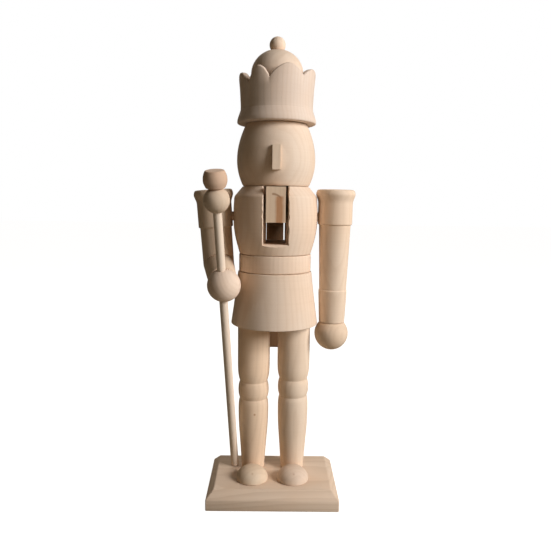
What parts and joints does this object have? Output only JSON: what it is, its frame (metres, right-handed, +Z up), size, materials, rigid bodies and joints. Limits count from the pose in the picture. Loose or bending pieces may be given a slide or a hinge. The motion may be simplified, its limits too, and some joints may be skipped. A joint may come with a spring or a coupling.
{
  "type": "nutcracker figure",
  "caption": "Unpainted turned-wood crowned guard figure on a bevelled plinth, with a lever-worked jaw in a chest slot and a lift-out staff.",
  "frame": {"origin": "centre of the plinth's underside, where the figure rests", "axes": "+Z up through the figure; the figure faces -Y; +X is the figure's own left, the side of the straight arm"},
  "size_m": [0.1353, 0.1174, 0.381],
  "materials": {
    "turned_wood": "bare, fine-sanded pale hardwood with long faint grain along each turning",
    "plinth_wood": "bare sanded board, grain running side to side",
    "lever_wood": "bare sawn plank with a brown heartwood streak on the jaw",
    "peg_wood": "plain dowel, hidden inside",
    "pin_steel": "plain wire nail and wood screw steel"
  },
  "bodies": {
    "figure": {"base_plinth": "plinth_wood", "left_leg": "turned_wood", "right_leg": "turned_wood", "left_foot": "turned_wood", "right_foot": "turned_wood", "tunic_skirt": "turned_wood", "belt_band": "turned_wood", "chest_block": "turned_wood", "head_block": "turned_wood", "nose_wedge": "lever_wood", "crown_ring": "turned_wood", "cap_dome": "turned_wood", "finial_ball": "turned_wood", "left_arm": "turned_wood", "left_hand": "turned_wood", "right_upper_arm": "turned_wood", "right_forearm": "turned_wood", "right_hand": "turned_wood", "crown_peg": "peg_wood", "finial_peg": "peg_wood", "left_hip_peg": "peg_wood", "right_hip_peg": "peg_wood", "left_waist_peg": "peg_wood", "right_waist_peg": "peg_wood", "left_neck_peg": "peg_wood", "right_neck_peg": "peg_wood", "left_shoulder_peg": "peg_wood", "right_shoulder_peg": "peg_wood", "left_wrist_peg": "peg_wood", "right_wrist_peg": "peg_wood", "right_elbow_peg": "peg_wood", "lever_pivot_pin": "pin_steel", "left_leg_screw": "pin_steel", "right_leg_screw": "pin_steel"},
    "lever": {"jaw_lever": "lever_wood"},
    "staff": {"staff_rod": "turned_wood", "staff_knob": "turned_wood", "staff_cup": "turned_wood"}
  },
  "joints": [
    {"name": "jaw_hinge", "type": "hinge", "parent": "figure", "child": "lever", "pos_m": [0, 0.018, 0.246], "axis": [1, 0, 0], "range_deg": [0, 23]},
    {"name": "staff_lift", "type": "slide", "parent": "figure", "child": "staff", "axis": [-0.0445, -0.2325, 0.9716], "range_m": [0, 0.16]}
  ]
}
